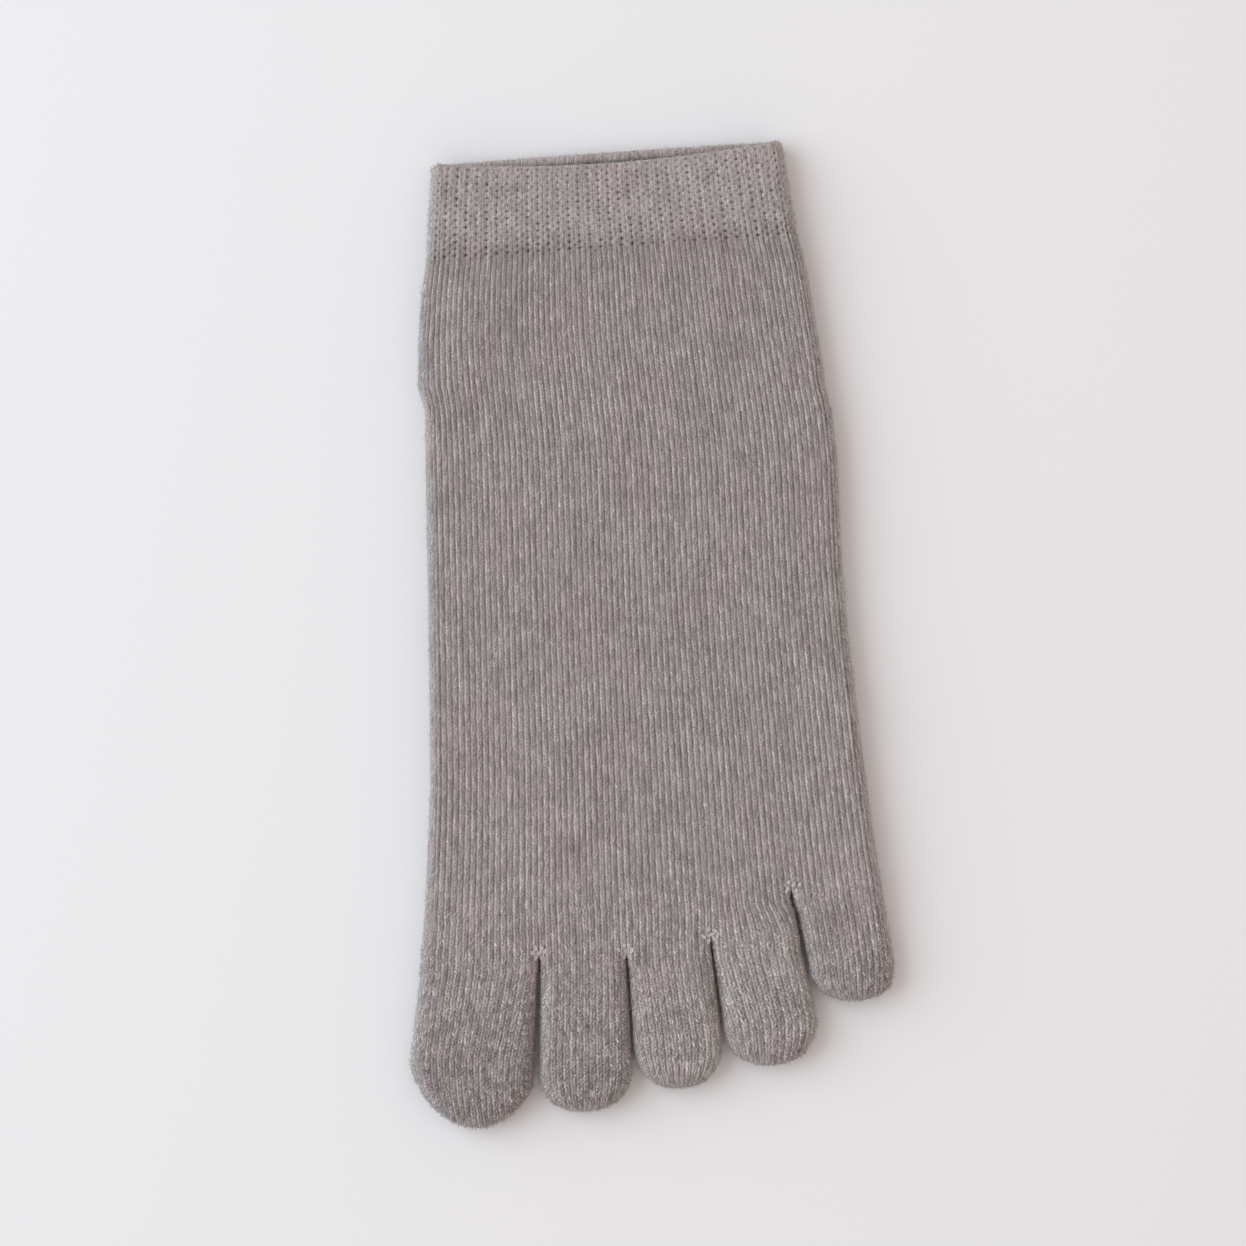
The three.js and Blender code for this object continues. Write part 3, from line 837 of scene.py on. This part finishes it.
class Value:
    """A number that a material's nodes work out. Arithmetic with it adds the nodes it takes."""

    def __init__(self, recipe, socket):
        self.recipe = recipe
        self.socket = socket

    def __add__(self, other):
        return self.recipe.math("ADD", self, other)

    def __sub__(self, other):
        return self.recipe.math("SUBTRACT", self, other)

    def __rsub__(self, other):
        return self.recipe.math("SUBTRACT", other, self)

    def __mul__(self, other):
        return self.recipe.math("MULTIPLY", self, other)

    def __truediv__(self, other):
        return self.recipe.math("DIVIDE", self, other)

    def __abs__(self):
        return self.recipe.math("ABSOLUTE", self)

    __radd__ = __add__
    __rmul__ = __mul__


class Recipe:
    """Builds a material's nodes one after another."""

    def __init__(self, name):
        self.material = bpy.data.materials.get(name) or bpy.data.materials.new(name)
        self.material.use_nodes = True
        self.tree = self.material.node_tree
        self.tree.nodes.clear()

    def node(self, kind, inputs=(), **settings):
        """Adds a node and returns its outputs."""
        made = self.tree.nodes.new(kind)
        for key, value in settings.items():
            setattr(made, key, value)
        for key, value in dict(inputs).items():
            source = value.socket if isinstance(value, Value) else value
            if isinstance(source, bpy.types.NodeSocket):
                self.tree.links.new(source, made.inputs[key])
            else:
                made.inputs[key].default_value = source
        return made.outputs

    def math(self, operation, a, b=0.0, clamp=False):
        return Value(self, self.node("ShaderNodeMath", {0: a, 1: b}, operation=operation, use_clamp=clamp)[0])

    def reached(self, value, start, run):
        """How far a value is past a start, from 0 to 1 over a run."""
        return self.math("DIVIDE", value - start, run, clamp=True)

    def vector(self, x, y, z=0.0):
        return self.node("ShaderNodeCombineXYZ", {0: x, 1: y, 2: z})[0]

    def noise(self, vector, scale, detail=2.0, roughness=0.5):
        inputs = {"Vector": vector, "Scale": scale, "Detail": detail, "Roughness": roughness}
        return Value(self, self.node("ShaderNodeTexNoise", inputs)["Fac"])

    def spread(self, value, low, high):
        """A noise value, which keeps near a half, stretched to run from low to high."""
        inputs = {"Value": value, "From Min": 0.25, "From Max": 0.75, "To Min": low, "To Max": high}
        return Value(self, self.node("ShaderNodeMapRange", inputs)[0])

    def bump(self, height, strength, depth):
        inputs = {"Height": height, "Strength": strength, "Distance": depth * MM}
        return {"Normal": self.node("ShaderNodeBump", inputs)["Normal"]}

    def surface(self, colour, tone, roughness, more=()):
        """Ends the material with a dull surface, its colour made lighter or darker by a tone."""
        toned = self.node("ShaderNodeVectorMath", {0: colour, 3: tone}, operation="SCALE")[0]
        inputs = {"Base Color": toned, "Roughness": roughness, "Specular IOR Level": SHINE, **dict(more)}
        shader = self.node("ShaderNodeBsdfPrincipled", inputs)[0]
        self.node("ShaderNodeOutputMaterial", {"Surface": shader})
        return self.material


def strayed(recipe, wale, course):
    """The wale and course of the yarn, which wanders a little off its own."""
    loose = recipe.noise(recipe.vector(wale, course * 0.5), 0.9, 1.0)
    slack = recipe.noise(recipe.vector(wale, course, 7.0), 0.7, 1.0)
    return wale + recipe.spread(loose, -0.1, 0.1), course + recipe.spread(slack, -0.6, 0.6)


def legs(recipe, aside, wale, course):
    """The two legs of each stitch, slanting to the middle of the wale, with painted light on them, lighter on
    each leg's crest and darker between legs and courses, and the random tone that each has.
    """
    leg = 1 - abs(aside - LEG_HIGHLIGHT_PLACE) / (1 - LEG_HIGHLIGHT_PLACE)
    phase = course + aside * STITCH_SLANT
    beat = recipe.math("COSINE", phase * (2 * math.pi))
    which = recipe.vector(recipe.math("FLOOR", wale * 2), recipe.math("FLOOR", phase + 0.5))
    shade = recipe.node("ShaderNodeTexWhiteNoise", {"Vector": which}, noise_dimensions="2D")["Value"]
    return leg * (beat * 0.4 + 0.6), Value(recipe, shade)


def painted_highlight_lines(recipe, on_wale, wale, course):
    """Thin painted highlight lines along the left leg of a wale, for a stretch, where it stands proud and
    catches the light from the left.
    """
    line = recipe.math("SUBTRACT", 1.0, abs(on_wale - HIGHLIGHT_PLACE) / HIGHLIGHT_WIDTH, clamp=True)
    stretch = recipe.noise(recipe.vector(wale, course * 0.09, 3.0), 0.9, 2.0)
    return line * recipe.spread(stretch, 0.2, 1.1) * (recipe.reached(course, 0, SEAM_FADE) * 0.7 + 0.3)


def cuff_tone_with_dimple_shade(recipe, wale, course, shade):
    """The cuff's tone, with painted shade in its dimples, and less of it in the shallow ones between their
    columns.
    """
    across = recipe.math("COSINE", wale * (2 * math.pi / RIB_WALES))
    up = recipe.math("COSINE", course * (-2 * math.pi * CUFF_COURSE_ROWS / DIMPLE_ROWS))
    dot = recipe.math("DIVIDE", -0.1 - across * up, 0.85, clamp=True)
    uneven = recipe.spread(recipe.noise(recipe.vector(wale, course, 5.0), 0.9, 1.0), 0.4, 1.6)
    shade_in_dimples = dot * (across * 0.3 + 0.7) * (uneven * shade)
    return 1.07 + recipe.reached(course, 0, SEAM_FADE) * 0.12 - shade_in_dimples


def knit_material(name, stitch_painted_light, painted_line_highlight, groove_painted_shade, dimple_painted_shade=0.0):
    """Heather yarn in knit stitches: wale and course come from the piece's own UV map."""
    yarn = bpy.context.scene.toe_sock_yarn
    recipe = Recipe(name)
    place = recipe.node("ShaderNodeTexCoord")
    wale, course, _ = (Value(recipe, part) for part in recipe.node("ShaderNodeSeparateXYZ", {0: place["UV"]}))
    loose_wale, loose_course = strayed(recipe, wale, course)
    on_wale = recipe.math("FRACT", loose_wale)
    aside = abs(on_wale - 0.5) * 2
    stitch, own_shade = legs(recipe, aside, loose_wale, loose_course)

    # On the toes the painted highlight lines and the painted groove shade give way to single stitches
    on_toes = recipe.reached(course, TOE_LOOK_START, TOE_LOOK_RUN)
    line = painted_highlight_lines(recipe, on_wale, wale, course) * (1 - on_toes * 0.7)
    groove = recipe.reached(aside, 0.55, 0.45) * (1 - on_toes * 0.8)

    # Fibres and blended shades of the yarn
    fibre = recipe.noise(recipe.vector(wale, course * 0.7), 3.6, 3.0, 0.8)
    streak = recipe.noise(recipe.vector(wale, course * 0.1), 1.6, 2.0)
    patch = recipe.noise(place["Object"], 70.0, 2.0)
    cloud = recipe.noise(place["Object"], 170.0, 3.0)

    # Painted light on the stitches: each leg lighter on its crest and darker between legs and between courses
    tone = 1 + (stitch - 0.4) * (stitch_painted_light + on_toes * 0.5)
    # Painted shade in the grooves between wales
    tone = tone * (1.02 + on_toes * 0.07 - groove * groove_painted_shade)
    tone = tone * (1 + (own_shade - 0.5) * (0.4 + on_toes * 0.15))
    tone = tone * (1 + recipe.spread(fibre, -0.6, 0.6) * (1 + on_toes * 0.4))
    tone = tone * recipe.spread(streak, 0.85, 1.15) * recipe.spread(cloud, 0.9, 1.1)
    # Painted highlight along one leg of each wale, where it catches the light from the left
    tone = tone * (0.94 + line * painted_line_highlight)
    if dimple_painted_shade:
        # Painted shade in the cuff's dimples
        tone = tone * cuff_tone_with_dimple_shade(recipe, loose_wale, course, dimple_painted_shade)
    cooler = recipe.math("ADD", recipe.spread(patch, -0.4, 0.6), tone * 0.4, clamp=True)
    tints = {"Factor": cooler, "A": yarn.warm, "B": yarn.cool}
    tinted = recipe.node("ShaderNodeMix", tints, data_type="RGBA")
    more = {"Sheen Weight": 0.6, "Sheen Roughness": 0.5, **recipe.bump(stitch + fibre * 1.2, 0.8, 0.28)}
    return recipe.surface(tinted["Result"], tone, YARN_ROUGHNESS, more)


def loose_yarn():
    """Yarn and fibres that stand clear of the knit, with their colour painted lighter for the light that they
    catch.
    """
    recipe = Recipe("Loose Yarn")
    fibre = recipe.noise(recipe.node("ShaderNodeTexCoord")["Object"], 2600.0, 2.0, 0.7)
    # Painted light: the cool grey of the yarn, lightened for loose fibres that catch the light
    light = [min(1, 1.45 * part) for part in bpy.context.scene.toe_sock_yarn.cool]
    tone = recipe.spread(fibre, 0.5, 1.5)
    return recipe.surface(light[:3], tone, YARN_ROUGHNESS, recipe.bump(fibre, 0.7, 0.15))


def plain_knit():
    return knit_material("Plain Knit", stitch_painted_light=0.6, painted_line_highlight=0.44, groove_painted_shade=0.18)


def rib_knit():
    return knit_material("Rib Knit", stitch_painted_light=0.42, painted_line_highlight=0.15, groove_painted_shade=0.05, dimple_painted_shade=0.54)


def floor_material():
    return Recipe("Floor").surface(bpy.context.scene.toe_sock_stage.floor[:3], 1.0, FLOOR_ROUGHNESS)


class TOESOCK_PG_knit(bpy.types.PropertyGroup):
    """Sizes of the knit, in millimetres"""

    foot_roll: bpy.props.FloatProperty(
        name="Foot roll", description="How far a side edge of the foot or cuff curves in", default=2.6,
        min=2.0)
    toe_roll: bpy.props.FloatProperty(
        name="Toe roll", description="How far an edge of a toe curves in", default=3.5, min=2.0)
    groove_depth: bpy.props.FloatProperty(
        name="Groove depth", description="How deep the grooves between wales are", default=0.36)
    stitch_rise: bpy.props.FloatProperty(
        name="Stitch rise", description="How far a single stitch bulges", default=0.15)
    fuzz_rise: bpy.props.FloatProperty(
        name="Fuzz rise", description="How uneven the yarn is", default=0.14)
    rib_rise: bpy.props.FloatProperty(
        name="Rib rise", description="How far the ribs of the cuff rise and their grooves fall", default=0.15)
    dimple_depth: bpy.props.FloatProperty(
        name="Dimple depth", description="How deep the dimples between the ribs are", default=0.55)
    fibre_length: bpy.props.FloatProperty(
        name="Fibre length", description="Length of the longest loose fibres", default=0.9)
    sway_rise: bpy.props.FloatProperty(
        name="Sway", description="How far the upper side rises and sinks softly", default=0.6)
    gather_rise: bpy.props.FloatProperty(
        name="Gather rise", description="Height of the puckers under the cuff", default=0.25)
    mouth_sag: bpy.props.FloatProperty(
        name="Mouth sag", description="How far the upper rim of the cuff sinks in its middle", default=1.6)
    lip_lift: bpy.props.FloatProperty(
        name="Lip lift", description="How far the lower rim of the cuff curls up in its middle", default=3.4)


class TOESOCK_PG_yarn(bpy.types.PropertyGroup):
    """Colours of the yarn"""

    warm: bpy.props.FloatVectorProperty(
        name="Warm grey", description="The yarn where it looks warmer", subtype="COLOR", size=4,
        default=(0.414, 0.34, 0.347, 1), min=0, max=1)
    cool: bpy.props.FloatVectorProperty(
        name="Cool grey", description="The yarn where it looks cooler", subtype="COLOR", size=4,
        default=(0.384, 0.354, 0.343, 1), min=0, max=1)


class TOESOCK_PG_stage(bpy.types.PropertyGroup):
    """The floor, the lights and the camera"""

    floor: bpy.props.FloatVectorProperty(
        name="Floor", description="Colour of the floor", subtype="COLOR", size=4,
        default=(0.817, 0.811, 0.835, 1), min=0, max=1)
    key_power: bpy.props.FloatProperty(
        name="Key light", description="Power of the soft light from the upper left", default=27.0)
    ambient: bpy.props.FloatProperty(
        name="Ambient", description="Brightness of the surroundings", default=0.71)
    camera_height: bpy.props.FloatProperty(
        name="Camera height", description="How high the camera hangs above the sock", default=1.1,
        unit="LENGTH")


class TOESOCK_OT_cuff(bpy.types.Operator):
    """Knits the ribbed cuff with its open mouth"""

    bl_idname = "toe_sock.cuff"
    bl_label = "Cuff"

    def execute(self, context):
        sheets = []
        for side, (layer, points) in knitted_cuff().items():
            faces = (points, wales_round(layer.wales, side), layer.courses)
            sheets.append((*(np.concatenate([rows, rows[:1]]) for rows in faces), (0, len(points))))
        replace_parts(add_piece("Cuff", knit_mesh(sheets), rib_knit()), "cuff")
        return {"FINISHED"}


class TOESOCK_OT_foot(bpy.types.Operator):
    """Knits the foot, a flattened tube with soft folds"""

    bl_idname = "toe_sock.foot"
    bl_label = "Foot"

    def execute(self, context):
        sheets = []
        for side, (outer, points) in knitted_foot().items():
            columns = outer.x.shape[1] - 1
            inner = foot_layer(columns, INNER_ROWS, inset=FOOT_WALL, stop=INNER_SETBACK)
            sheets.append(ring_sheet(outer, points, inner, side))
        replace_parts(add_piece("Foot", knit_mesh(sheets), plain_knit()), "foot")
        return {"FINISHED"}


class TOESOCK_OT_band(bpy.types.Operator):
    """Knits the band that the four larger toes share"""

    bl_idname = "toe_sock.band"
    bl_label = "Toe Band"

    def execute(self, context):
        sheets = []
        for side, (outer, points) in knitted_band().items():
            inner = band_layer(None, 2, inset=FOOT_WALL, start=SEAM_REACH / 2, stop=SEAM_REACH)
            sheets.append(ring_sheet(outer, points, inner, side))
        add_piece("Toe_Band", knit_mesh(sheets), plain_knit())
        return {"FINISHED"}


class TOESOCK_OT_toes(bpy.types.Operator):
    """Knits the five toes, which run on from the band and the foot"""

    bl_idname = "toe_sock.toes"
    bl_label = "Toes"

    def execute(self, context):
        for toe, faces in knitted_toes():
            sheets = []
            for side, (outer, points) in faces.items():
                inner = toe_layer(toe, None, INNER_ROWS, inset=FOOT_WALL, start=INNER_SETBACK)
                sheets.append(pocket_sheet(outer, points, inner, side))
            name = toe["name"].title()
            piece = add_piece(name, knit_mesh(sheets), plain_knit())
            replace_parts(piece, toe["name"])
        return {"FINISHED"}


class TOESOCK_OT_links(bpy.types.Operator):
    """Sews the loops of yarn that close the crotches between the toes"""

    bl_idname = "toe_sock.links"
    bl_label = "Linking Stitches"

    def execute(self, context):
        add_piece("Linking_Stitches", knit_mesh(link_sheets()), loose_yarn())
        return {"FINISHED"}


class TOESOCK_OT_fuzz(bpy.types.Operator):
    """Raises the loose fibres of the yarn, most of them along the edges"""

    bl_idname = "toe_sock.fuzz"
    bl_label = "Fuzz"

    def execute(self, context):
        add_piece("Fuzz", knit_mesh([fibre_sheet()]), loose_yarn())
        return {"FINISHED"}


class TOESOCK_OT_stage(bpy.types.Operator):
    """Lays the floor and sets the lights and the camera"""

    bl_idname = "toe_sock.stage"
    bl_label = "Stage"

    def execute(self, context):
        stage = context.scene.toe_sock_stage
        self.lay_floor(context)
        self.set_light(context, stage)
        self.set_camera(context, stage)
        return {"FINISHED"}

    def lay_floor(self, context):
        bm = bmesh.new()
        bmesh.ops.create_grid(bm, x_segments=1, y_segments=1, size=FLOOR_SIZE / 2)
        mesh = bpy.data.meshes.new("Floor")
        bm.to_mesh(mesh)
        bm.free()
        mesh.materials.append(floor_material())
        floor = bpy.data.objects.new("Floor", mesh)
        context.scene.collection.objects.link(floor)

    def set_light(self, context, stage):
        lamp = bpy.data.lights.new("Key", "AREA")
        lamp.energy = stage.key_power
        lamp.size = KEY_SIZE
        lamp.color = (0.745, 0.896, 0.986)
        key = bpy.data.objects.new("Key", lamp)
        key.location = KEY_PLACE
        key.rotation_euler = (-key.location).to_track_quat("-Z", "Y").to_euler()
        context.scene.collection.objects.link(key)
        world = bpy.data.worlds.new("Studio")
        world.use_nodes = True
        background = world.node_tree.nodes["Background"]
        background.inputs["Color"].default_value = (1, 0.9, 0.835, 1)
        background.inputs["Strength"].default_value = stage.ambient
        context.scene.world = world
        context.scene.view_settings.view_transform = "Standard"

    def set_camera(self, context, stage):
        lens = bpy.data.cameras.new("Camera")
        lens.sensor_width = SENSOR
        lens.lens = SENSOR * (stage.camera_height / MM - CUFF_THICKNESS / 2) / VIEW_WIDTH
        camera = bpy.data.objects.new("Camera", lens)
        camera.location = (VIEW_CENTRE[0] * MM, VIEW_CENTRE[1] * MM, stage.camera_height)
        camera.rotation_euler = (0, 0, -VIEW_TURN)
        context.scene.collection.objects.link(camera)
        context.scene.camera = camera


class TOESOCK_PT_panel(bpy.types.Panel):
    """Lists the pieces of the sock"""

    bl_idname = "TOESOCK_PT_panel"
    bl_label = "Toe Sock"
    bl_space_type = "VIEW_3D"
    bl_region_type = "UI"
    bl_category = "Toe Sock"

    def draw(self, context):
        for operator in OPERATORS:
            self.layout.operator(operator.bl_idname)
        for group in GROUPS:
            settings = getattr(context.scene, group)
            for name in settings.bl_rna.properties.keys():
                if name not in ("rna_type", "name"):
                    self.layout.prop(settings, name)


OPERATORS = (
    TOESOCK_OT_cuff, TOESOCK_OT_foot, TOESOCK_OT_band, TOESOCK_OT_toes, TOESOCK_OT_links, TOESOCK_OT_fuzz,
    TOESOCK_OT_stage,
)
GROUPS = {"toe_sock": TOESOCK_PG_knit, "toe_sock_yarn": TOESOCK_PG_yarn, "toe_sock_stage": TOESOCK_PG_stage}


def register():
    for each in (*GROUPS.values(), *OPERATORS, TOESOCK_PT_panel):
        bpy.utils.register_class(each)
    for name, group in GROUPS.items():
        setattr(bpy.types.Scene, name, bpy.props.PointerProperty(type=group))


def unregister():
    for name in GROUPS:
        delattr(bpy.types.Scene, name)
    for each in (TOESOCK_PT_panel, *reversed(OPERATORS), *GROUPS.values()):
        bpy.utils.unregister_class(each)


def main():
    register()
    bpy.ops.toe_sock.stage()
    bpy.ops.toe_sock.cuff()
    bpy.ops.toe_sock.foot()
    bpy.ops.toe_sock.band()
    bpy.ops.toe_sock.toes()
    bpy.ops.toe_sock.links()
    bpy.ops.toe_sock.fuzz()


if __name__ == "__main__":
    main()
